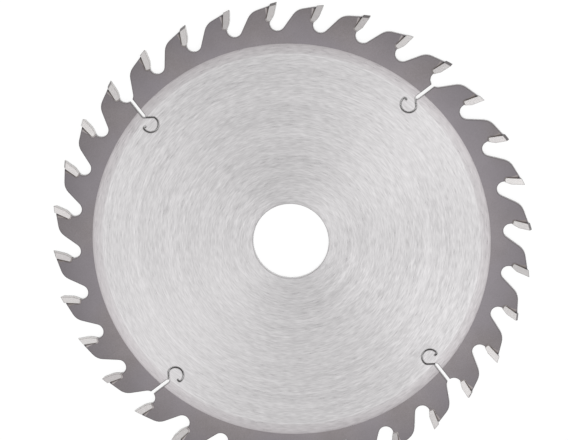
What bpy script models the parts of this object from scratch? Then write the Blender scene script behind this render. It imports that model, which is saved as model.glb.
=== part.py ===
"""Circular saw blade with brazed carbide tips, for cutting wood: 190 mm across, 32 alternately
bevelled teeth, 30 mm bore.

The blade lies flat. +Z is its axis, the origin is the centre of the bore half way through the
plate, and the point of tooth 1 is on +Y. Seen from +Z the teeth point clockwise.

A tooth is drawn in the plane of the blade with its point straight up at (0, TIP_CIRCLE_RADIUS):
x runs forward, the way the tooth cuts, and y runs outward from the bore. The other teeth are the
same drawing turned about the axis.
"""

from math import atan2, ceil, cos, pi, radians, sin, tan

import bmesh
import bpy
from mathutils import Matrix, Vector

# The blade, in metres.
TIP_CIRCLE_RADIUS = 0.095
PLATE_THICKNESS = 0.0018
CUT_WIDTH = 0.0028
BORE_RADIUS = 0.015
TOOTH_COUNT = 32

# A carbide tip: a small bar that leans forward, with its cutting face ground to the hook angle.
HOOK_ANGLE = radians(15)
SEAT_ANGLE = radians(16)
TIP_LENGTH = 0.0078
TIP_THICKNESS = 0.0024
TIP_FACE_LENGTH = 0.0053
TIP_FOOT_WIDTH = 0.0017
TIP_CORNER_RADIUS = 0.0005
TOP_CLEARANCE = radians(13.5)
TOP_BEVEL = radians(15)
RADIAL_RELIEF = radians(1.5)
TANGENTIAL_RELIEF = radians(2.5)

# The seat that the tip is brazed into, and the steel tooth behind it.
BRAZE_GAP = 0.0003
SEAT_LIP = 0.0003
SHOULDER_STEP = 0.0008
SHOULDER_ANGLE = radians(17)
CREST_RADIUS = 0.0057
BACK_ANGLE = radians(27.5)

# The gullet in front of the tooth.
THROAT_WALL = 0.00075
GULLET_RADIUS = 0.003

# The expansion slots: a wide slot runs in from a gullet, and a laser kerf curls on from its end.
SLOT_COUNT = 4
SLOT_WIDTH = 0.00145
SLOT_LENGTH = 0.0084
SLOT_SLANT = radians(10.3)
KERF_WIDTH = 0.0004
KERF_TURN_OUT = radians(55.3)
KERF_RUN = 0.0032
KERF_LEAD_RADIUS = 0.0015
KERF_LEAD_TURN = radians(41)
KERF_CURL_RADIUS = 0.0032
KERF_CURL_TURN = radians(194)
KERF_END_RADIUS = 0.0006
KERF_END_TURN = radians(130)
PIERCE_RADIUS = 0.00035

# How finely round stretches are drawn, and from what angle an edge stays sharp.
ARC_STEP = radians(12)
BORE_STEP = radians(3.75)
PIERCE_STEP = radians(36)
SPARE_STEP = 0.01
SHARP_ANGLE = radians(30)

PITCH_ANGLE = 2 * pi / TOOTH_COUNT


def heading(angle):
    """The unit vector at this angle from +x, anticlockwise."""
    return Vector((cos(angle), sin(angle)))


def turned(point, angle):
    """The point turned anticlockwise about the blade's axis."""
    return Matrix.Rotation(angle, 2) @ point


def meet(p, along_p, q, along_q):
    """Where the line through p crosses the line through q."""
    across = Vector((-along_q.y, along_q.x))
    return p + along_p * ((q - p).dot(across) / along_p.dot(across))


def arc(centre, radius, start, end, step=ARC_STEP):
    """Points on a circle from the start angle to the end angle, both included.

    A turn of whole steps gets just that many, because SPARE_STEP takes up the rounding.
    """
    count = max(1, ceil(abs(end - start) / step - SPARE_STEP))
    return [centre + radius * heading(start + (end - start) * i / count) for i in range(count + 1)]


def circle(centre, radius, step=ARC_STEP):
    return arc(centre, radius, 0, 2 * pi, step)[:-1]


def rounded_corner(before, corner, after, radius):
    """The corner of a path of straight runs, as an arc that touches both of its sides."""
    back = (before - corner).normalized()
    ahead = (after - corner).normalized()
    half = back.angle(ahead) / 2
    centre = corner + (back + ahead).normalized() * radius / sin(half)
    first = corner + back * radius / tan(half) - centre
    last = corner + ahead * radius / tan(half) - centre
    start = atan2(first.y, first.x)
    sweep = (atan2(last.y, last.x) - start + pi) % (2 * pi) - pi
    return arc(centre, radius, start, start + sweep)


class Tooth:
    """The points and directions that the tip, its seat and the steel tooth share."""

    point = Vector((0, TIP_CIRCLE_RADIUS))
    up = heading(pi / 2 - SEAT_ANGLE)
    forward = heading(-SEAT_ANGLE)
    down_face = -heading(pi / 2 - HOOK_ANGLE)

    # The carbide tip, seen from the side. Its back and foot lie square in the seat.
    face_end = point + TIP_FACE_LENGTH * down_face
    back_line = point - TIP_THICKNESS * forward
    top_back = meet(point, heading(pi + TOP_CLEARANCE), back_line, up)
    foot_back = back_line - TIP_LENGTH * up
    foot_front = foot_back + TIP_FOOT_WIDTH * forward

    # The seat in the plate stands off from the tip by the thickness of the braze.
    seat_corner = foot_back - BRAZE_GAP * (up + forward)
    seat_front = foot_front - BRAZE_GAP * up - SEAT_LIP * forward
    shoulder = top_back - BRAZE_GAP * forward - SHOULDER_STEP * up
    gullet_centre = seat_front + Vector((GULLET_RADIUS, -THROAT_WALL))

    # The back of the tooth runs down straight and touches the round of the next gullet.
    back_end = turned(gullet_centre, PITCH_ANGLE) + GULLET_RADIUS * heading(-BACK_ANGLE)
    crest = meet(shoulder, heading(pi + SHOULDER_ANGLE), back_end, heading(-pi / 2 - BACK_ANGLE))


def plate_outline():
    """The toothed edge, anticlockwise. Each tooth starts with the gullet in front of it."""
    gullet = arc(Tooth.gullet_centre, GULLET_RADIUS, -BACK_ANGLE - PITCH_ANGLE, -pi)
    seat = rounded_corner(
        Tooth.seat_front, Tooth.seat_corner, Tooth.shoulder, TIP_CORNER_RADIUS + BRAZE_GAP
    )
    crest = rounded_corner(Tooth.shoulder, Tooth.crest, Tooth.back_end, CREST_RADIUS)
    tooth = gullet + [Tooth.seat_front] + seat + [Tooth.shoulder] + crest
    return [turned(point, PITCH_ANGLE * n) for n in range(TOOTH_COUNT) for point in tooth]


def slot_end():
    """The inner end of the wide slot, and the slot's direction there."""
    floor = Tooth.gullet_centre - Vector((0, GULLET_RADIUS))
    inward = heading(-pi / 2 - SLOT_SLANT)
    return floor + SLOT_LENGTH * inward, inward


def wide_slot_outline():
    """The wide slot, from the middle of the gullet to the slot's round end."""
    end, inward = slot_end()
    left = Vector((-inward.y, inward.x)) * SLOT_WIDTH / 2
    mouth = end - inward * (SLOT_LENGTH + GULLET_RADIUS / 2)
    middle = -pi / 2 - SLOT_SLANT
    rounding = arc(end - inward * SLOT_WIDTH / 2, SLOT_WIDTH / 2, middle - pi / 2, middle + pi / 2)
    return [mouth + left, mouth - left] + rounding


def kerf_path():
    """The laser's path: straight out of the slot's end, then clockwise in three turns.

    Each item is a point and the direction across the kerf there, towards its outer side.
    """
    end, inward = slot_end()
    way = KERF_TURN_OUT - pi / 2 - SLOT_SLANT
    across = heading(way + pi / 2)
    place = end + KERF_RUN * heading(way)
    path = [(end - KERF_WIDTH * heading(way), across), (place, across)]
    for radius, turn in (
        (KERF_LEAD_RADIUS, KERF_LEAD_TURN),
        (KERF_CURL_RADIUS, KERF_CURL_TURN),
        (KERF_END_RADIUS, KERF_END_TURN),
    ):
        centre = place - radius * heading(way + pi / 2)
        bend = arc(centre, radius, way + pi / 2, way + pi / 2 - turn)[1:]
        path += [(point, (point - centre).normalized()) for point in bend]
        place = bend[-1]
        way -= turn
    return path


def kerf_outline():
    path = kerf_path()
    outer = [point + across * KERF_WIDTH / 2 for point, across in path]
    inner = [point - across * KERF_WIDTH / 2 for point, across in path]
    return outer + inner[::-1]


def pierce_outline():
    """The small hole where the laser broke through, at the inner end of the kerf."""
    return circle(kerf_path()[-1][0], PIERCE_RADIUS, PIERCE_STEP)


def mesh_from(bm, name):
    bmesh.ops.recalc_face_normals(bm, faces=bm.faces)
    mesh = bpy.data.meshes.new(name)
    bm.to_mesh(mesh)
    bm.free()
    mesh.shade_smooth()
    mesh.set_sharp_from_angle(angle=SHARP_ANGLE)
    return mesh


def prism(name, thickness, *loops):
    """A flat solid, half of it above z = 0. The first loop is its edge, and the others are holes."""
    bm = bmesh.new()
    edges = []
    for loop in loops:
        corners = [bm.verts.new((point.x, point.y, -thickness / 2)) for point in loop]
        edges += [bm.edges.new(pair) for pair in zip(corners, corners[1:] + corners[:1])]
    bmesh.ops.triangle_fill(bm, edges=edges, use_beauty=True)
    raised = bmesh.ops.extrude_face_region(bm, geom=bm.faces[:], use_keep_orig=True)
    top = [part for part in raised["geom"] if isinstance(part, bmesh.types.BMVert)]
    bmesh.ops.translate(bm, verts=top, vec=(0, 0, thickness))
    return mesh_from(bm, name)


def tip_side(low):
    """The tip seen from one side. The low side's top is cut down by the bevel."""
    drop = CUT_WIDTH * tan(TOP_BEVEL) if low else 0
    top_front = Tooth.point + Tooth.down_face * drop / cos(HOOK_ANGLE)
    top_back = Tooth.top_back - Tooth.up * drop / cos(SEAT_ANGLE)
    corner = rounded_corner(top_back, Tooth.foot_back, Tooth.foot_front, TIP_CORNER_RADIUS)
    return [top_front, top_back] + corner + [Tooth.foot_front, Tooth.face_end]


def tip_half_width(point):
    """Half the tip's width here: its sides draw in towards the bore and away from the cutting face."""
    inward = TIP_CIRCLE_RADIUS - point.y
    behind = (Tooth.point - point).dot(heading(-HOOK_ANGLE))
    return CUT_WIDTH / 2 - inward * tan(RADIAL_RELIEF) - behind * tan(TANGENTIAL_RELIEF)


def tip_mesh(name, bevel_faces_up):
    """A tip for the tooth at +Y. Its top slopes down towards +Z, or towards -Z."""
    bm = bmesh.new()
    sides = []
    for z_sign in (1, -1):
        profile = tip_side(low=bevel_faces_up == (z_sign > 0))
        sides.append(
            [bm.verts.new((point.x, point.y, z_sign * tip_half_width(point))) for point in profile]
        )
    upper, lower = sides
    bm.faces.new(upper)
    bm.faces.new(lower[::-1])
    for n in range(len(upper)):
        bm.faces.new((upper[n - 1], upper[n], lower[n], lower[n - 1]))
    return mesh_from(bm, name)


def metal(name, colour, roughness):
    material = bpy.data.materials.new(name)
    material.use_nodes = True
    shader = material.node_tree.nodes["Principled BSDF"]
    shader.inputs["Base Color"].default_value = (*colour, 1)
    shader.inputs["Metallic"].default_value = 1
    shader.inputs["Roughness"].default_value = roughness
    return material


def place(name, mesh, collection, parent=None, turn=0):
    """The mesh as an object, turned about the blade's axis."""
    obj = bpy.data.objects.new(name, mesh)
    collection.objects.link(obj)
    obj.parent = parent
    obj.rotation_euler.z = turn
    return obj


def add_slot_cutters(collection):
    """Three cutters for each slot, turned to gullets that are evenly spaced round the blade."""
    height = 2 * PLATE_THICKNESS
    outlines = {"slot": wide_slot_outline(), "kerf": kerf_outline(), "pierce": pierce_outline()}
    for name, outline in outlines.items():
        mesh = prism(f"{name}_cutter", height, outline)
        for slot in range(SLOT_COUNT):
            turn = PITCH_ANGLE * round(slot * TOOTH_COUNT / SLOT_COUNT)
            cutter = place(f"{name}_cutter_{slot + 1}", mesh, collection, turn=turn)
            cutter.hide_render = True
            cutter.display_type = "WIRE"


def add_plate(collection, parent):
    """The steel body: one flat plate with its bore, toothed edge and expansion slots."""
    bore = circle(Vector((0, 0)), BORE_RADIUS, BORE_STEP)
    mesh = prism("blade_plate", PLATE_THICKNESS, plate_outline(), bore)
    mesh.materials.append(metal("ground_steel", (0.55, 0.55, 0.55), 0.35))
    plate = place("blade_plate", mesh, collection, parent)
    cutters = bpy.data.collections.new("slot_cutters")
    collection.children.link(cutters)
    add_slot_cutters(cutters)
    slots = plate.modifiers.new("expansion_slots", "BOOLEAN")
    slots.operation = "DIFFERENCE"
    slots.operand_type = "COLLECTION"
    slots.collection = cutters


def add_tips(collection, parent):
    """The carbide tips, one to a tooth, bevelled by turns towards +Z and -Z."""
    carbide = metal("cemented_carbide", (0.62, 0.61, 0.59), 0.3)
    meshes = (tip_mesh("tip_bevelled_up", True), tip_mesh("tip_bevelled_down", False))
    for mesh in meshes:
        mesh.materials.append(carbide)
    for n in range(TOOTH_COUNT):
        place(f"tip_{n + 1:02d}", meshes[n % 2], collection, parent, turn=PITCH_ANGLE * n)


def build():
    for obj in list(bpy.data.objects):
        bpy.data.objects.remove(obj)
    collection = bpy.context.scene.collection
    blade = place("saw_blade", None, collection)
    add_plate(collection, blade)
    add_tips(collection, blade)


build()
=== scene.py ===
from math import cos, pi, radians, sin, tau

import bmesh
import bpy
from mathutils import Matrix, Vector


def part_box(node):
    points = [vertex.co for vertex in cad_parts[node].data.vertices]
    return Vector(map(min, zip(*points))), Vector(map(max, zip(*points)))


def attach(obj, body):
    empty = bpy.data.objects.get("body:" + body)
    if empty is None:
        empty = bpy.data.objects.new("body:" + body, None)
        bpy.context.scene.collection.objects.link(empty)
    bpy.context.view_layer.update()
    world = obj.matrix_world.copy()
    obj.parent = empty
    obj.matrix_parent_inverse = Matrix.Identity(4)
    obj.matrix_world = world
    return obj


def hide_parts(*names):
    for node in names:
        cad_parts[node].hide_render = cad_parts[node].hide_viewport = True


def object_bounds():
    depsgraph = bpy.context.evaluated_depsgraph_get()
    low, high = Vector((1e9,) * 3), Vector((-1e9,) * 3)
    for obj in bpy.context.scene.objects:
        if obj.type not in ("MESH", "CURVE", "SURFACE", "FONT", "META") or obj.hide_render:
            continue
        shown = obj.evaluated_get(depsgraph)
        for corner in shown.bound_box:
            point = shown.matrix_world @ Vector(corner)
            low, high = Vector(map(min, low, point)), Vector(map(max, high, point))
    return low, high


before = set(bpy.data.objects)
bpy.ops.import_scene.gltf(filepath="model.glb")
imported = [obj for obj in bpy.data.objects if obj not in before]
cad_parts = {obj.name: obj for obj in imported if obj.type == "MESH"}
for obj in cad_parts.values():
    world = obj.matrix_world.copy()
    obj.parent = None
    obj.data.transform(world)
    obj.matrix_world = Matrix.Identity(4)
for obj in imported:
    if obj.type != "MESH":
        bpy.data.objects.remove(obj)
cad_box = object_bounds()


# Steel plate. One disc of hardened tool steel, cut to shape by laser. Its edges are lightly
# broken, its bore is reamed and chamfered, and both faces are blasted and then ground in fine
# rings out to a circle below the teeth, which leaves the middle a hair thinner than the rim.

MM = 0.001
EDGE_BREAK = 0.04 * MM
BORE_CHAMFER = 0.2 * MM
GROUND_RADIUS = 78.8 * MM
GROUND_DEPTH = 0.02 * MM
GROUND_SIDES = 256
MERGE_DISTANCE = 0.03 * MM
FLAT_WITHIN = radians(1)
SHARP_FROM = radians(25)

# How much of a face's normal lies along the axis: more than the first on the flat faces, more than
# the second on a level one, and less than the third on an upright wall.
FLAT_FACE = 0.9
LEVEL_FACE = 0.999
UPRIGHT_WALL = 0.5


def merged_copy(node_name):
    """The CAD node's surface as one joined skin of flat faces, to be worked on."""
    skin = bmesh.new()
    skin.from_mesh(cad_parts[node_name].data)
    bmesh.ops.remove_doubles(skin, verts=skin.verts, dist=MERGE_DISTANCE)
    bmesh.ops.dissolve_limit(skin, angle_limit=FLAT_WITHIN, verts=skin.verts, edges=skin.edges)
    return skin


def finished_mesh(skin, name, sharp_from=SHARP_FROM):
    """The skin as a mesh, smooth along its curves and sharp at its edges."""
    mesh = bpy.data.meshes.new(name)
    skin.to_mesh(mesh)
    skin.free()
    mesh.shade_smooth()
    mesh.set_sharp_from_angle(angle=sharp_from)
    return mesh


def new_piece(name, mesh):
    """A new object in the scene, with this mesh."""
    piece = bpy.data.objects.new(name, mesh)
    bpy.context.scene.collection.objects.link(piece)
    return piece


def evaluated_mesh(obj, name):
    """The object's mesh as its modifiers leave it, as a plain mesh."""
    graph = bpy.context.evaluated_depsgraph_get()
    mesh = bpy.data.meshes.new_from_object(obj.evaluated_get(graph))
    mesh.name = name
    return mesh


face_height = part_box("blade_plate")[1].z
bore_radius = min(v.co.xy.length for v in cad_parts["blade_plate"].data.vertices)

skin = merged_copy("blade_plate")
rims = [
    edge for edge in skin.edges
    if edge.calc_face_angle() > SHARP_FROM
    and max(abs(face.normal.z) for face in edge.link_faces) > FLAT_FACE
]
at_bore = [edge for edge in rims if max(v.co.xy.length for v in edge.verts) < bore_radius + BORE_CHAMFER]
at_outline = [edge for edge in rims if edge not in at_bore]
for edges, width in ((at_bore, BORE_CHAMFER), (at_outline, EDGE_BREAK)):
    bmesh.ops.bevel(skin, geom=edges, offset=width, segments=1, affect="EDGES", clamp_overlap=False)
bmesh.ops.triangulate(skin, faces=[face for face in skin.faces if len(face.verts) > 4])
chamfered = new_piece("chamfered_plate", finished_mesh(skin, "chamfered_plate"))

# The two grinding passes, as thin discs that overlap each face by the depth of the cut.
passes = bmesh.new()
for side in (1, -1):
    bmesh.ops.create_cone(
        passes,
        cap_ends=True,
        segments=GROUND_SIDES,
        radius1=GROUND_RADIUS,
        radius2=GROUND_RADIUS,
        depth=2 * GROUND_DEPTH,
        matrix=Matrix.Translation((0, 0, side * face_height)),
    )
grinding = new_piece("grinding_passes", finished_mesh(passes, "grinding_passes"))
cut = chamfered.modifiers.new("ground_faces", "BOOLEAN")
cut.operation = "DIFFERENCE"
cut.object = grinding
plate = new_piece("steel_plate", evaluated_mesh(chamfered, "steel_plate"))
for helper in (chamfered, grinding):
    bpy.data.objects.remove(helper)
plate.data.shade_smooth()
plate.data.set_sharp_from_angle(angle=SHARP_FROM)
for face in plate.data.polygons:
    face.use_smooth = abs(face.normal.z) < LEVEL_FACE


def linear(colour):
    """An sRGB hex colour as linear light."""
    parts = [int(colour[n:n + 2], 16) / 255 for n in (1, 3, 5)]
    return [part / 12.92 if part <= 0.04045 else ((part + 0.055) / 1.055) ** 2.4 for part in parts] + [1]


def plug(node, inputs):
    """Gives each input its value, or links it to a socket or to another node's first output."""
    for name, value in inputs.items():
        if isinstance(value, bpy.types.Node):
            value = value.outputs[0]
        if isinstance(value, bpy.types.NodeSocket):
            node.id_data.links.new(value, node.inputs[name])
        else:
            node.inputs[name].default_value = value


def add_node(tree, kind, settings, inputs):
    """A node of this kind, with its settings and what goes into it."""
    node = tree.nodes.new(kind)
    for name, value in settings.items():
        setattr(node, name, value)
    plug(node, inputs)
    return node


def new_material(name):
    """A material, its node tree and its shader."""
    material = bpy.data.materials.new(name)
    material.use_nodes = True
    return material, material.node_tree, material.node_tree.nodes["Principled BSDF"]


# Where a Mix node takes two colours, and where the mixed colour comes out.
FIRST, SECOND, MIXED = 6, 7, 2

# Steel ground by a wheel that runs round the bore: short bright scratches along the circles, a
# few of them crossing where the wheel ran out of true, and a duller band at the edge of the pass.
# The scratches of a real wheel are some 0.05 mm wide, and are drawn coarser so that they show.
SCRATCH_LENGTH = 3.3 * MM
SCRATCH_PITCH = 0.42 * MM
BAND_LENGTH = 60 * MM
BAND_PITCH = 2.2 * MM
RUN_OUT = 9 * MM
CROSSING_WEIGHT = 0.35
BAND_WEIGHT = 0.4
GRIND_LEAST = 0.72
GRIND_MOST = 1.38
GROUND_SMOOTHEST = 0.26
GROUND_ROUGHEST = 0.45
EDGE_BAND_SMOOTHER = 0.02
EDGE_BAND_START = 74.55 * MM
EDGE_BAND_STEP = 0.5 * MM
EDGE_BAND_STEP_SHARE = 0.35
LIFT_REACH = 0.8 * MM
LIFT_SHARE = 0.35
SLOW_RADIUS = 60 * MM
SLOW_DULLING = 0.15

# A brighter line runs round the ground face at these radii.
BRIGHT_LINE_RADII = (74.7 * MM, 62.2 * MM)
BRIGHT_LINE_WIDTH = 0.45 * MM
BRIGHT_LINE_GAIN = 0.24

# The noise has the two faces this many times further apart than they lie, so that they differ.
FACES_APART = 50

# A darker strip of painted edge shade runs along every cut edge.
CUT_EDGE_SHADE_REACH = 0.45 * MM

# Near an edge, fewer of the rays that go into a piece stay inside it. The painted edge shade sets in
# below the first share of them and is full at the second.
EDGE_SETS_IN = 0.98
EDGE_FULL = 0.55


def with_painted_edge_shade(tree, colour, edge_shade_colour, reach):
    """The colour, turning to a painted edge shade towards the edges that lie within this reach."""
    inside = add_node(
        tree,
        "ShaderNodeAmbientOcclusion",
        {"samples": 8, "inside": True, "only_local": True},
        {"Distance": reach},
    ).outputs["AO"]
    share = add_node(
        tree, "ShaderNodeMapRange", {}, {"Value": inside, "From Min": EDGE_SETS_IN, "From Max": EDGE_FULL}
    )
    return add_node(
        tree,
        "ShaderNodeMix",
        {"data_type": "RGBA"},
        {"Factor": share, FIRST: colour, SECOND: linear(edge_shade_colour)},
    ).outputs[MIXED]


def distance_from_axis(tree, place):
    """How far each place lies from the axis through its origin."""
    flat = add_node(tree, "ShaderNodeVectorMath", {"operation": "MULTIPLY"}, {0: place, 1: (1, 1, 0)})
    return add_node(tree, "ShaderNodeVectorMath", {"operation": "LENGTH"}, {0: flat}).outputs["Value"]


def rings(tree, place, centre, length, pitch, detail):
    """Noise drawn out along the circles round a centre, with each face far from the other in it."""
    moved = add_node(tree, "ShaderNodeVectorMath", {"operation": "SUBTRACT"}, {0: place, 1: centre})
    across = add_node(
        tree, "ShaderNodeMath", {"operation": "DIVIDE"}, {0: distance_from_axis(tree, moved), 1: pitch}
    )
    rise = add_node(tree, "ShaderNodeCombineXYZ", {}, {"Z": across})
    stretch = (1 / length, 1 / length, FACES_APART / length)
    drawn = add_node(
        tree, "ShaderNodeVectorMath", {"operation": "MULTIPLY_ADD"}, {0: moved, 1: stretch, 2: rise}
    )
    return add_node(tree, "ShaderNodeTexNoise", {}, {"Vector": drawn, "Scale": 1, "Detail": detail})


ground_steel, tree, shader = new_material("ring_ground_steel")
place = add_node(tree, "ShaderNodeTexCoord", {}, {}).outputs["Object"]
scratches = rings(tree, place, (0, 0, 0), SCRATCH_LENGTH, SCRATCH_PITCH, detail=3)
crossing = rings(tree, place, (RUN_OUT, 0, 0), SCRATCH_LENGTH, SCRATCH_PITCH, detail=2)
crossing_back = rings(tree, place, (-RUN_OUT / 2, -RUN_OUT, 0), SCRATCH_LENGTH, SCRATCH_PITCH, detail=2)
bands = rings(tree, place, (0, 0, 0), BAND_LENGTH, BAND_PITCH, detail=2)
crossings = add_node(tree, "ShaderNodeMath", {}, {0: crossing, 1: crossing_back})
weighted = add_node(
    tree,
    "ShaderNodeMath",
    {"operation": "MULTIPLY_ADD"},
    {0: crossings, 1: CROSSING_WEIGHT, 2: scratches},
)
grind = add_node(
    tree, "ShaderNodeMath", {"operation": "MULTIPLY_ADD"}, {0: bands, 1: BAND_WEIGHT, 2: weighted}
)
grind_share = add_node(
    tree, "ShaderNodeMapRange", {}, {"Value": grind, "From Min": GRIND_LEAST, "From Max": GRIND_MOST}
)
radius = distance_from_axis(tree, place)
# The wheel cuts a little duller towards the middle, where it runs slower.
dulling = add_node(
    tree,
    "ShaderNodeMapRange",
    {},
    {"Value": radius, "From Min": SLOW_RADIUS, "From Max": bore_radius, "To Max": -SLOW_DULLING},
)
brightness = add_node(tree, "ShaderNodeMath", {}, {0: grind_share, 1: dulling})
for bright_line_radius in BRIGHT_LINE_RADII:
    off = add_node(tree, "ShaderNodeMath", {"operation": "SUBTRACT"}, {0: radius, 1: bright_line_radius})
    distance = add_node(tree, "ShaderNodeMath", {"operation": "ABSOLUTE"}, {0: off})
    line = add_node(
        tree, "ShaderNodeMapRange", {}, {"Value": distance, "From Min": BRIGHT_LINE_WIDTH, "From Max": 0}
    )
    brightness = add_node(
        tree,
        "ShaderNodeMath",
        {"operation": "MULTIPLY_ADD"},
        {0: line, 1: BRIGHT_LINE_GAIN, 2: brightness},
    )
ground_colour = add_node(
    tree,
    "ShaderNodeMix",
    {"data_type": "RGBA"},
    {"Factor": brightness, FIRST: linear("#c1bfc0"), SECOND: linear("#e4e2e3")},
).outputs[MIXED]
edge_step = add_node(
    tree,
    "ShaderNodeMapRange",
    {},
    {
        "Value": radius,
        "From Min": EDGE_BAND_START,
        "From Max": EDGE_BAND_START + EDGE_BAND_STEP,
        "To Max": EDGE_BAND_STEP_SHARE,
    },
)
edge_fall = add_node(
    tree,
    "ShaderNodeMapRange",
    {},
    {
        "Value": radius,
        "From Min": EDGE_BAND_START,
        "From Max": GROUND_RADIUS,
        "To Max": 1 - EDGE_BAND_STEP_SHARE,
    },
)
edge_share = add_node(tree, "ShaderNodeMath", {}, {0: edge_step, 1: edge_fall})
band_colour = add_node(
    tree,
    "ShaderNodeMix",
    {"data_type": "RGBA"},
    {"Factor": grind_share, FIRST: linear("#b4afb1"), SECOND: linear("#cfcacc")},
).outputs[MIXED]
dulled_colour = add_node(
    tree,
    "ShaderNodeMix",
    {"data_type": "RGBA"},
    {"Factor": edge_share, FIRST: ground_colour, SECOND: band_colour},
).outputs[MIXED]
# The wheel lifts off over the last part of the pass.
lift_share = add_node(
    tree,
    "ShaderNodeMapRange",
    {},
    {
        "Value": radius,
        "From Min": GROUND_RADIUS - LIFT_REACH,
        "From Max": GROUND_RADIUS,
        "To Max": LIFT_SHARE,
    },
)
lifted_colour = add_node(
    tree,
    "ShaderNodeMix",
    {"data_type": "RGBA"},
    {"Factor": lift_share, FIRST: dulled_colour, SECOND: linear("#a09b9d")},
).outputs[MIXED]
even_rough = add_node(
    tree,
    "ShaderNodeMapRange",
    {},
    {"Value": grind_share, "To Min": GROUND_SMOOTHEST, "To Max": GROUND_ROUGHEST},
)
rough = add_node(
    tree,
    "ShaderNodeMath",
    {"operation": "MULTIPLY_ADD"},
    {0: edge_share, 1: -EDGE_BAND_SMOOTHER, 2: even_rough},
)
relief = add_node(
    tree, "ShaderNodeBump", {}, {"Strength": 0.05, "Distance": 0.01 * MM, "Height": grind_share}
)
wheel_way = add_node(tree, "ShaderNodeTangent", {"direction_type": "RADIAL", "axis": "Z"}, {})
plug(
    shader,
    {
        # The cut edges get a painted edge shade.
        "Base Color": with_painted_edge_shade(tree, lifted_colour, "#777374", CUT_EDGE_SHADE_REACH),
        "Metallic": 1,
        "Roughness": rough,
        "Anisotropic": 0.62,
        "Anisotropic Rotation": 0.25,
        "Tangent": wheel_way,
        "Normal": relief,
    },
)

# Steel blasted with grit: an even, dull grey with a fine grain, slightly darker clouds, and a tint
# that wanders from warm to cool. The grain is drawn a few times coarser than the grit, to show.
GRIT_GRAIN = 0.35 * MM
CLOUD_WIDTH = 9 * MM
CLOUD_WEIGHT = 0.6
MOTTLE_LEAST = 0.55
MOTTLE_MOST = 1.05
TINT_WIDTH = 28 * MM
TINT_LEAST = 0.38
TINT_MOST = 0.6
TINT_SHARE = 0.4

# The heat of brazing darkens the steel from the first radius out, and most at the second.
HEATED_FROM = 79.5 * MM
HEATED_MOST = 92 * MM

blasted_steel, tree, shader = new_material("grit_blasted_steel")
place = add_node(tree, "ShaderNodeTexCoord", {}, {}).outputs["Object"]
grain = add_node(tree, "ShaderNodeTexNoise", {}, {"Vector": place, "Scale": 1 / GRIT_GRAIN, "Detail": 2})
clouds = add_node(tree, "ShaderNodeTexNoise", {}, {"Vector": place, "Scale": 1 / CLOUD_WIDTH, "Detail": 3})
mottle = add_node(
    tree, "ShaderNodeMath", {"operation": "MULTIPLY_ADD"}, {0: clouds, 1: CLOUD_WEIGHT, 2: grain}
)
mottle_share = add_node(
    tree, "ShaderNodeMapRange", {}, {"Value": mottle, "From Min": MOTTLE_LEAST, "From Max": MOTTLE_MOST}
)
warm_colour = add_node(
    tree,
    "ShaderNodeMix",
    {"data_type": "RGBA"},
    {"Factor": mottle_share, FIRST: linear("#888283"), SECOND: linear("#958f91")},
).outputs[MIXED]
tint = add_node(tree, "ShaderNodeTexNoise", {}, {"Vector": place, "Scale": 1 / TINT_WIDTH, "Detail": 1})
tint_share = add_node(
    tree,
    "ShaderNodeMapRange",
    {},
    {"Value": tint, "From Min": TINT_LEAST, "From Max": TINT_MOST, "To Max": TINT_SHARE},
)
blasted_colour = add_node(
    tree,
    "ShaderNodeMix",
    {"data_type": "RGBA"},
    {"Factor": tint_share, FIRST: warm_colour, SECOND: linear("#8e8a92")},
).outputs[MIXED]
heated = add_node(
    tree,
    "ShaderNodeMapRange",
    {},
    {"Value": distance_from_axis(tree, place), "From Min": HEATED_FROM, "From Max": HEATED_MOST},
)
heated_colour = add_node(
    tree,
    "ShaderNodeMix",
    {"data_type": "RGBA", "blend_type": "MULTIPLY"},
    {"Factor": heated, FIRST: blasted_colour, SECOND: linear("#e7e7e7")},
).outputs[MIXED]
relief = add_node(tree, "ShaderNodeBump", {}, {"Strength": 0.15, "Distance": 0.02 * MM, "Height": grain})
plug(
    shader,
    {
        # The cut edges get a painted edge shade.
        "Base Color": with_painted_edge_shade(tree, heated_colour, "#5c5759", CUT_EDGE_SHADE_REACH),
        "Metallic": 1,
        "Roughness": 0.44,
        "Normal": relief,
    },
)

# Steel cut by laser, with fine drag lines straight through the plate: dark in the kerfs, partly
# with oxide, which the blasting doesn't reach, and partly with painted shade for the narrow cut,
# and cleaned pale by the blasting along the toothed edge.
DRAG_LINE = 0.14 * MM
DRAG_REACH = 4 * MM

# The slots and kerfs lie within this radius, and the toothed edge outside it.
KERF_ZONE_RADIUS = 74.9 * MM

cut_steels = []
for name, dark, pale in (
    ("blasted_cut_edge", "#8a8687", "#b0acad"),
    # The kerf walls: dark oxide and painted shade.
    ("oxidised_kerf_wall", "#343132", "#4d494a"),
):
    material, tree, shader = new_material(name)
    place = add_node(tree, "ShaderNodeTexCoord", {}, {}).outputs["Object"]
    stretch = (1 / DRAG_LINE, 1 / DRAG_LINE, 1 / DRAG_REACH)
    drawn = add_node(tree, "ShaderNodeVectorMath", {"operation": "MULTIPLY"}, {0: place, 1: stretch})
    drag = add_node(tree, "ShaderNodeTexNoise", {}, {"Vector": drawn, "Scale": 1, "Detail": 2})
    cut_wall_colour = add_node(
        tree,
        "ShaderNodeMix",
        {"data_type": "RGBA"},
        {"Factor": drag, FIRST: linear(dark), SECOND: linear(pale)},
    ).outputs[MIXED]
    relief = add_node(tree, "ShaderNodeBump", {}, {"Strength": 0.5, "Distance": 0.02 * MM, "Height": drag})
    plug(shader, {"Base Color": cut_wall_colour, "Metallic": 1, "Roughness": 0.45, "Normal": relief})
    cut_steels.append(material)

# Steel reamed by a turning tool: bright, with fine lines round the bore.
REAM_LINE = 0.08 * MM
REAM_REACH = 8 * MM

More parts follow.
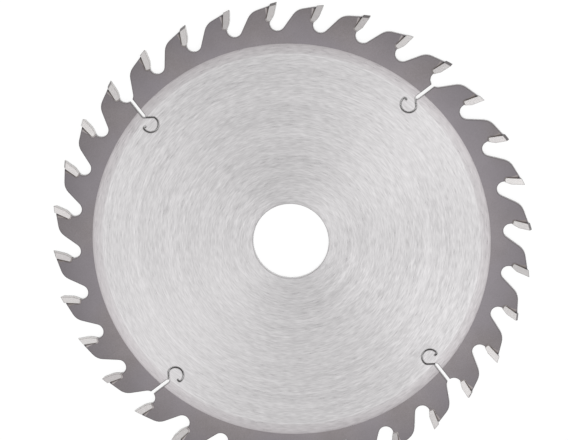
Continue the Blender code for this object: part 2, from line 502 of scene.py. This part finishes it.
reamed_steel, tree, shader = new_material("reamed_steel")
place = add_node(tree, "ShaderNodeTexCoord", {}, {}).outputs["Object"]
stretch = (1 / REAM_REACH, 1 / REAM_REACH, 1 / REAM_LINE)
drawn = add_node(tree, "ShaderNodeVectorMath", {"operation": "MULTIPLY"}, {0: place, 1: stretch})
turning = add_node(tree, "ShaderNodeTexNoise", {}, {"Vector": drawn, "Scale": 1, "Detail": 2})
reamed_colour = add_node(
    tree,
    "ShaderNodeMix",
    {"data_type": "RGBA"},
    {"Factor": turning, FIRST: linear("#a19e9f"), SECOND: linear("#dddbdc")},
).outputs[MIXED]
relief = add_node(tree, "ShaderNodeBump", {}, {"Strength": 0.3, "Distance": 0.01 * MM, "Height": turning})
plug(shader, {"Base Color": reamed_colour, "Metallic": 1, "Roughness": 0.3, "Normal": relief})

finishes = (blasted_steel, ground_steel, reamed_steel, *cut_steels)
BLASTED, GROUND, REAMED, CUT_EDGE, KERF_WALL = range(len(finishes))

plate.data.materials.clear()
for material in finishes:
    plate.data.materials.append(material)
for face in plate.data.polygons:
    level = abs(face.center.z)
    reach = face.center.xy.length
    if reach < bore_radius + BORE_CHAMFER and abs(face.normal.z) < FLAT_FACE:
        face.material_index = REAMED
    elif abs(face.normal.z) < UPRIGHT_WALL and level > face_height - GROUND_DEPTH:
        face.material_index = GROUND
    elif abs(face.normal.z) < FLAT_FACE:
        face.material_index = KERF_WALL if reach < KERF_ZONE_RADIUS else CUT_EDGE
    elif level < face_height - GROUND_DEPTH / 2:
        face.material_index = GROUND
    else:
        face.material_index = BLASTED

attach(plate, "root")
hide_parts("blade_plate")


# Carbide tips. 32 small bars of cemented carbide, pressed and sintered, brazed into the seats of
# the plate and then ground with a diamond wheel. Their tops are bevelled by turns to one side and
# to the other.

HONED_EDGE = 0.03 * MM
HONED_SHARP_FROM = radians(15)
TIP_EDGE_SHADE_REACH = 0.24 * MM
TOOTH_COUNT = sum(name.startswith("tip_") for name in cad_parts)
pitch_angle = tau / TOOTH_COUNT


def tip_blank(node_name, tooth):
    """A tip's mesh turned back to the tooth at +Y, with its edges honed."""
    skin = merged_copy(node_name)
    turn_back = Matrix.Rotation(-tooth * pitch_angle, 3, "Z")
    bmesh.ops.rotate(skin, cent=(0, 0, 0), matrix=turn_back, verts=skin.verts)
    sharp = [edge for edge in skin.edges if edge.calc_face_angle() > SHARP_FROM]
    bmesh.ops.bevel(skin, geom=sharp, offset=HONED_EDGE, segments=2, profile=0.5, affect="EDGES")
    mesh = finished_mesh(skin, f"blank_{node_name}", HONED_SHARP_FROM)
    return new_piece(mesh.name, mesh)


# Sets two pieces by turns round the blade, one to a tooth. A point of the result knows its place
# on the first tooth, so that a pattern runs the same way on each, and its tooth's own shade.
tooth_ring = bpy.data.node_groups.new("tooth_ring", "GeometryNodeTree")
interface = tooth_ring.interface
interface.new_socket("Geometry", in_out="OUTPUT", socket_type="NodeSocketGeometry")
for name, kind in (
    ("First Piece", "NodeSocketObject"),
    ("Second Piece", "NodeSocketObject"),
    ("Teeth", "NodeSocketInt"),
    ("Material", "NodeSocketMaterial"),
    ("Seed", "NodeSocketInt"),
):
    interface.new_socket(name, in_out="INPUT", socket_type=kind)
given = add_node(tooth_ring, "NodeGroupInput", {}, {})
index = add_node(tooth_ring, "GeometryNodeInputIndex", {}, {})
position = add_node(tooth_ring, "GeometryNodeInputPosition", {}, {})
facing = add_node(tooth_ring, "GeometryNodeInputNormal", {}, {})
kinds = add_node(tooth_ring, "GeometryNodeJoinGeometry", {}, {})
for name in ("Second Piece", "First Piece"):
    piece = add_node(tooth_ring, "GeometryNodeObjectInfo", {}, {"Object": given.outputs[name]})
    placed = add_node(
        tooth_ring,
        "GeometryNodeStoreNamedAttribute",
        {"data_type": "FLOAT_VECTOR", "domain": "POINT"},
        {"Geometry": piece.outputs["Geometry"], "Name": "tooth_place", "Value": position},
    )
    faced = add_node(
        tooth_ring,
        "GeometryNodeStoreNamedAttribute",
        {"data_type": "FLOAT_VECTOR", "domain": "FACE"},
        {"Geometry": placed, "Name": "tooth_normal", "Value": facing},
    )
    plug(kinds, {0: add_node(tooth_ring, "GeometryNodeGeometryToInstance", {}, {0: faced})})
points = add_node(tooth_ring, "GeometryNodePoints", {}, {"Count": given.outputs["Teeth"]})
step = add_node(tooth_ring, "ShaderNodeMath", {"operation": "DIVIDE"}, {0: tau, 1: given.outputs["Teeth"]})
turn = add_node(tooth_ring, "ShaderNodeMath", {"operation": "MULTIPLY"}, {0: index, 1: step})
turn_vector = add_node(tooth_ring, "ShaderNodeCombineXYZ", {}, {"Z": turn})
rotation = add_node(tooth_ring, "FunctionNodeEulerToRotation", {}, {0: turn_vector})
by_turns = add_node(tooth_ring, "ShaderNodeMath", {"operation": "MODULO"}, {0: index, 1: 2.0})
set_out = add_node(
    tooth_ring,
    "GeometryNodeInstanceOnPoints",
    {},
    {
        "Points": points,
        "Instance": kinds,
        "Pick Instance": True,
        "Instance Index": by_turns,
        "Rotation": rotation,
    },
)
shade = add_node(
    tooth_ring,
    "FunctionNodeRandomValue",
    {"data_type": "FLOAT"},
    {"ID": index, "Seed": given.outputs["Seed"]},
).outputs["Value"]
shaded = add_node(
    tooth_ring,
    "GeometryNodeStoreNamedAttribute",
    {"data_type": "FLOAT", "domain": "INSTANCE"},
    {"Geometry": set_out, "Name": "tooth_shade", "Value": shade},
)
realized = add_node(tooth_ring, "GeometryNodeRealizeInstances", {}, {0: shaded})
finished = add_node(
    tooth_ring, "GeometryNodeSetMaterial", {}, {"Geometry": realized, "Material": given.outputs["Material"]}
)
add_node(tooth_ring, "NodeGroupOutput", {}, {0: finished})


def ring_of(name, first, second, material, seed):
    """The two pieces set by turns round the blade, as one plain mesh."""
    host = new_piece("ring_host", bpy.data.meshes.new("ring_host"))
    modifier = host.modifiers.new("tooth_ring", "NODES")
    modifier.node_group = tooth_ring
    values = {
        "First Piece": first,
        "Second Piece": second,
        "Teeth": TOOTH_COUNT,
        "Material": material,
        "Seed": seed,
    }
    for item in tooth_ring.interface.items_tree:
        if item.name in values:
            modifier[item.identifier] = values[item.name]
    ring = new_piece(name, evaluated_mesh(host, name))
    for helper in {host, first, second}:
        bpy.data.objects.remove(helper)
    return ring


# Cemented carbide, ground with a diamond wheel: fine straight marks across the tip, drawn a few
# times coarser than they are. The sides and the lapped front are bright; the bevelled top, the back
# and the foot are painted darker, a painted dark reflection. Each tip has a shade of its own.
WHEEL_MARK = 0.12 * MM
WHEEL_REACH = 2.5 * MM
OWN_SHADE_WEIGHT = 0.8
TONE_LEAST = 0.35
TONE_MOST = 1.25

# How squarely a face has to point forward or sideways for the front's or the side's colour, to
# begin with and in full. The other faces get the painted dark reflection.
FACING_LEAST = 0.6
FACING_MOST = 0.8

carbide, tree, shader = new_material("diamond_ground_carbide")
place = add_node(tree, "ShaderNodeAttribute", {"attribute_name": "tooth_place"}, {}).outputs["Vector"]
stretch = (1 / WHEEL_REACH, 1 / WHEEL_MARK, 1 / WHEEL_MARK)
drawn = add_node(tree, "ShaderNodeVectorMath", {"operation": "MULTIPLY"}, {0: place, 1: stretch})
marks = add_node(tree, "ShaderNodeTexNoise", {}, {"Vector": drawn, "Scale": 1, "Detail": 2})
own_shade = add_node(tree, "ShaderNodeAttribute", {"attribute_name": "tooth_shade"}, {}).outputs["Fac"]
tone = add_node(
    tree, "ShaderNodeMath", {"operation": "MULTIPLY_ADD"}, {0: own_shade, 1: OWN_SHADE_WEIGHT, 2: marks}
)
tone_share = add_node(
    tree, "ShaderNodeMapRange", {}, {"Value": tone, "From Min": TONE_LEAST, "From Max": TONE_MOST}
)
side_colour = add_node(
    tree,
    "ShaderNodeMix",
    {"data_type": "RGBA"},
    {"Factor": tone_share, FIRST: linear("#bab6b6"), SECOND: linear("#d8d5d4")},
).outputs[MIXED]
lapped_colour = add_node(
    tree,
    "ShaderNodeMix",
    {"data_type": "RGBA"},
    {"Factor": tone_share, FIRST: linear("#c4c0bf"), SECOND: linear("#dcd9d7")},
).outputs[MIXED]
# The bevelled top, the back and the foot: painted darker, a painted dark reflection.
painted_dark_facet_colour = add_node(
    tree,
    "ShaderNodeMix",
    {"data_type": "RGBA"},
    {"Factor": tone_share, FIRST: linear("#5b5758"), SECOND: linear("#747071")},
).outputs[MIXED]
facing = add_node(tree, "ShaderNodeAttribute", {"attribute_name": "tooth_normal"}, {}).outputs["Vector"]
ways = add_node(tree, "ShaderNodeSeparateXYZ", {}, {0: facing})
on_front = add_node(
    tree,
    "ShaderNodeMapRange",
    {},
    {"Value": ways.outputs["X"], "From Min": FACING_LEAST, "From Max": FACING_MOST},
)
sideways = add_node(tree, "ShaderNodeMath", {"operation": "ABSOLUTE"}, {0: ways.outputs["Z"]})
on_side = add_node(
    tree, "ShaderNodeMapRange", {}, {"Value": sideways, "From Min": FACING_LEAST, "From Max": FACING_MOST}
)
front_colour = add_node(
    tree,
    "ShaderNodeMix",
    {"data_type": "RGBA"},
    {"Factor": on_front, FIRST: painted_dark_facet_colour, SECOND: lapped_colour},
).outputs[MIXED]
carbide_colour = add_node(
    tree,
    "ShaderNodeMix",
    {"data_type": "RGBA"},
    {"Factor": on_side, FIRST: front_colour, SECOND: side_colour},
).outputs[MIXED]
relief = add_node(tree, "ShaderNodeBump", {}, {"Strength": 0.07, "Distance": 0.01 * MM, "Height": marks})
wheel_way = add_node(tree, "ShaderNodeTangent", {"direction_type": "RADIAL", "axis": "Z"}, {})
plug(
    shader,
    {
        # The tips' edges get a painted edge shade, a dark outline.
        "Base Color": with_painted_edge_shade(tree, carbide_colour, "#8a8685", TIP_EDGE_SHADE_REACH),
        "Metallic": 1,
        "Roughness": 0.29,
        "Anisotropic": 0.94,
        "Anisotropic Rotation": 0.25,
        "Tangent": wheel_way,
        "Normal": relief,
    },
)

first_tip = tip_blank("tip_01", tooth=0)
second_tip = tip_blank("tip_02", tooth=1)
tips = ring_of("carbide_tips", first_tip, second_tip, carbide, seed=25)
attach(tips, "root")
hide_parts(*(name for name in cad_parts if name.startswith("tip_")))


# Silver braze. A film that joins each tip to its seat along the back and the foot. It draws up
# into the corners beside the tip, and spills a little over the plate's faces near the shoulder.

BRAZE_GAP = 0.3 * MM
BRAZE_BELOW_TOP = 0.92 * MM
SUNK = 0.01 * MM
FILLET_RISE = 0.15 * MM
SPILL_LEAST = 0.12 * MM
SPILL_MOST = 1.1 * MM
FOOT_SLOPE = 0.3 * MM
# The foot's film gets this share of the flux and painted corner shade.
FOOT_FLUX_AND_SHADE = 0.2
SPILL_REACH = 2.6 * MM
BACK_STEPS = 8

# The film's upper half in section, as places outward from the tip and heights. It starts a little
# inside the tip. The spill's two places are shares of its width, and its heights stand over the
# plate's face.
FILM_SECTION = ((-SUNK, 1.05 * MM), (0.12 * MM, 0.98 * MM), (BRAZE_GAP, 0.93 * MM))
SPILL_SECTION = ((0.5, 0.016 * MM), (1, 0.004 * MM))


def seat_path():
    """The first tip's back and foot, from the top of the back to the front of the foot."""
    skin = merged_copy("tip_01")
    sides = [face for face in skin.faces if face.normal.z > FLAT_FACE]
    side = max(sides, key=lambda face: face.calc_area())
    outline = [vert.co.copy() for vert in side.verts]
    skin.free()
    first = max(range(len(outline)), key=lambda n: outline[n].y)
    return [point.xy for point in (outline[first:] + outline[:first])[1:-1]]


def braze_film():
    """The film behind one tip as a closed skin, with each point's share of flux and painted shade."""
    path = seat_path()
    top_way = (path[1] - path[0]).normalized()
    path[0] = path[0] + top_way * BRAZE_BELOW_TOP
    back = [path[0].lerp(path[1], n / BACK_STEPS) for n in range(BACK_STEPS)]
    path = back + path[1:]
    skin = bmesh.new()
    burnt = skin.verts.layers.float.new("burnt")
    rows = []
    run = 0
    for n, point in enumerate(path):
        before = path[max(n - 1, 0)]
        after = path[min(n + 1, len(path) - 1)]
        way = (after - before).normalized()
        outward = Vector((way.y, -way.x))
        run += (point - before).length
        # The back's film is dark with flux and painted corner shade, the foot's less.
        heated = 1 if n < len(back) else FOOT_FLUX_AND_SHADE
        spill = SPILL_LEAST + (SPILL_MOST - SPILL_LEAST) * max(0, 1 - run / SPILL_REACH)
        half = list(FILM_SECTION)
        half += [(BRAZE_GAP + share * spill, face_height + height) for share, height in SPILL_SECTION]
        half += [(BRAZE_GAP + spill, face_height - SUNK), (BRAZE_GAP + SUNK, face_height - SUNK)]
        section = half + [(out, -height) for out, height in half[::-1]]
        row = []
        # The top of the film draws up beside the tip, and its front slopes away.
        for out, height in section:
            lean = 0
            if n == 0:
                lean = -FILLET_RISE * max(0, 1 - out / BRAZE_GAP)
            elif n == len(path) - 1:
                lean = -FOOT_SLOPE * min(1, out / BRAZE_GAP)
            spot = point + outward * out + way * lean
            vert = skin.verts.new((spot.x, spot.y, height))
            vert[burnt] = heated if out < BRAZE_GAP + SUNK / 2 else 0
            row.append(vert)
        rows.append(row)
    for row, following in zip(rows, rows[1:]):
        for n in range(len(row)):
            skin.faces.new((row[n - 1], row[n], following[n], following[n - 1]))
    skin.faces.new(rows[0])
    skin.faces.new(rows[-1][::-1])
    bmesh.ops.recalc_face_normals(skin, faces=skin.faces)
    return new_piece("braze_film", finished_mesh(skin, "braze_film"))


# Silver braze: dull and dark beside the tip, partly with burnt flux and partly with painted shade
# in the corner between tip and plate, and paler where it ran thin over the steel. Each tip's braze
# has a shade of its own.
BRAZE_GRAIN = 0.25 * MM

braze, tree, shader = new_material("silver_braze")
place = add_node(tree, "ShaderNodeTexCoord", {}, {}).outputs["Object"]
grain = add_node(tree, "ShaderNodeTexNoise", {}, {"Vector": place, "Scale": 1 / BRAZE_GRAIN, "Detail": 3})
burnt = add_node(tree, "ShaderNodeAttribute", {"attribute_name": "burnt"}, {}).outputs["Fac"]
own_shade = add_node(tree, "ShaderNodeAttribute", {"attribute_name": "tooth_shade"}, {}).outputs["Fac"]
pale_colour = add_node(
    tree,
    "ShaderNodeMix",
    {"data_type": "RGBA"},
    {"Factor": own_shade, FIRST: linear("#857e7c"), SECOND: linear("#b0aaaa")},
).outputs[MIXED]
# Burnt flux and painted corner shade.
flux_and_shade_colour = add_node(
    tree,
    "ShaderNodeMix",
    {"data_type": "RGBA"},
    {"Factor": grain, FIRST: linear("#544e4c"), SECOND: linear("#6e6662")},
).outputs[MIXED]
braze_colour = add_node(
    tree,
    "ShaderNodeMix",
    {"data_type": "RGBA"},
    {"Factor": burnt, FIRST: pale_colour, SECOND: flux_and_shade_colour},
).outputs[MIXED]
relief = add_node(tree, "ShaderNodeBump", {}, {"Strength": 0.4, "Distance": 0.02 * MM, "Height": grain})
plug(shader, {"Base Color": braze_colour, "Metallic": 1, "Roughness": 0.45, "Normal": relief})

film = braze_film()
joints = ring_of("braze_joints", film, film, braze, seed=407)
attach(joints, "root")


# Floor and light. The blade lies on a sheet of white paper, in a room with an even, soft light and
# three square softboxes overhead. The photo shows the blade turned by this angle, and here the
# softboxes and the camera are turned round it instead.

PHOTO_TURN = radians(48.44)
studio = Matrix.Rotation(-PHOTO_TURN, 4, "Z")

# Matt white paper, which looks as white in the steel as to the camera and lights nothing by itself.
# It is darker right beside the blade, where little of the room reaches it.
FLOOR_SIZE = 6
PAPER_GLOW = 0.9
SHADE_REACH = 1.0 * MM
SHADE_FULL = 0.44
SHADE_ENDS = 0.6

floor_skin = bmesh.new()
bmesh.ops.create_grid(
    floor_skin,
    x_segments=1,
    y_segments=1,
    size=FLOOR_SIZE / 2,
    matrix=Matrix.Translation((0, 0, cad_box[0].z)),
)
floor = new_piece("floor", finished_mesh(floor_skin, "floor"))
paper, tree, shader = new_material("white_paper")
light_path = add_node(tree, "ShaderNodeLightPath", {}, {})
seen = light_path.outputs["Is Camera Ray"]
for ray in ("Is Glossy Ray", "Is Transmission Ray"):
    seen = add_node(
        tree, "ShaderNodeMath", {"operation": "MAXIMUM"}, {0: seen, 1: light_path.outputs[ray]}
    )
open_sky = add_node(
    tree, "ShaderNodeAmbientOcclusion", {"samples": 8}, {"Distance": SHADE_REACH}
).outputs["AO"]
clear = add_node(
    tree, "ShaderNodeMapRange", {}, {"Value": open_sky, "From Min": SHADE_FULL, "From Max": SHADE_ENDS}
)
shaded = add_node(tree, "ShaderNodeMath", {"operation": "MULTIPLY"}, {0: seen, 1: clear})
glow = add_node(tree, "ShaderNodeMath", {"operation": "MULTIPLY"}, {0: shaded, 1: PAPER_GLOW})
plug(
    shader,
    {
        "Base Color": linear("#6a6a6a"),
        "Roughness": 0.9,
        "Specular IOR Level": 0,
        "Emission Color": (1, 1, 1, 1),
        "Emission Strength": glow,
    },
)
floor.data.materials.append(paper)

# The room's own light, the same from every side.
SKY_LEVEL = 0.8

world = bpy.data.worlds.new("soft_room")
world.use_nodes = True
bpy.context.scene.world = world
sky = world.node_tree.nodes["Background"]
sky.inputs["Color"].default_value = (1, 1, 1, 1)
sky.inputs["Strength"].default_value = SKY_LEVEL


def softbox(name, place, side, level):
    """A square softbox that faces the blade, with its side and its own brightness."""
    light = bpy.data.lights.new(name, "AREA")
    light.shape = "SQUARE"
    light.size = side
    light.energy = level * pi * side * side
    lamp = bpy.data.objects.new(name, light)
    bpy.context.scene.collection.objects.link(lamp)
    aim = Vector(place).to_track_quat("Z", "Y").to_matrix().to_4x4()
    lamp.matrix_world = studio @ Matrix.Translation(place) @ aim


softbox("low_right_softbox", (0.98, -0.96, 1.72), side=0.84, level=2.9)
softbox("high_right_softbox", (0.58, 0.11, 2.12), side=0.56, level=2.5)
softbox("left_softbox", (-0.54, -0.68, 2.02), side=0.42, level=1.1)


# Camera. It stands where the photo was taken from, high over the blade and a little to one side,
# and looks at a point beside the blade's axis.

CAMERA_DISTANCE = 1.24674
CAMERA_TILT = radians(12.748)
CAMERA_SIDE = radians(71.487)
CAMERA_LENS = 200.0
SENSOR_WIDTH = 36
AIM = Vector((-0.00275, 0.00834, 0))

camera_data = bpy.data.cameras.new("camera")
camera_data.lens = CAMERA_LENS
camera_data.sensor_width = SENSOR_WIDTH
camera = bpy.data.objects.new("camera", camera_data)
bpy.context.scene.collection.objects.link(camera)
spot = CAMERA_DISTANCE * Vector(
    (sin(CAMERA_TILT) * cos(CAMERA_SIDE), sin(CAMERA_TILT) * sin(CAMERA_SIDE), cos(CAMERA_TILT))
)
back = (spot - AIM).normalized()
side = Vector((0, 1, 0)).cross(back).normalized()
up = back.cross(side)
camera.matrix_world = studio @ Matrix.Translation(spot) @ Matrix((side, up, back)).transposed().to_4x4()
bpy.context.scene.camera = camera
bpy.context.scene.view_settings.view_transform = "Standard"
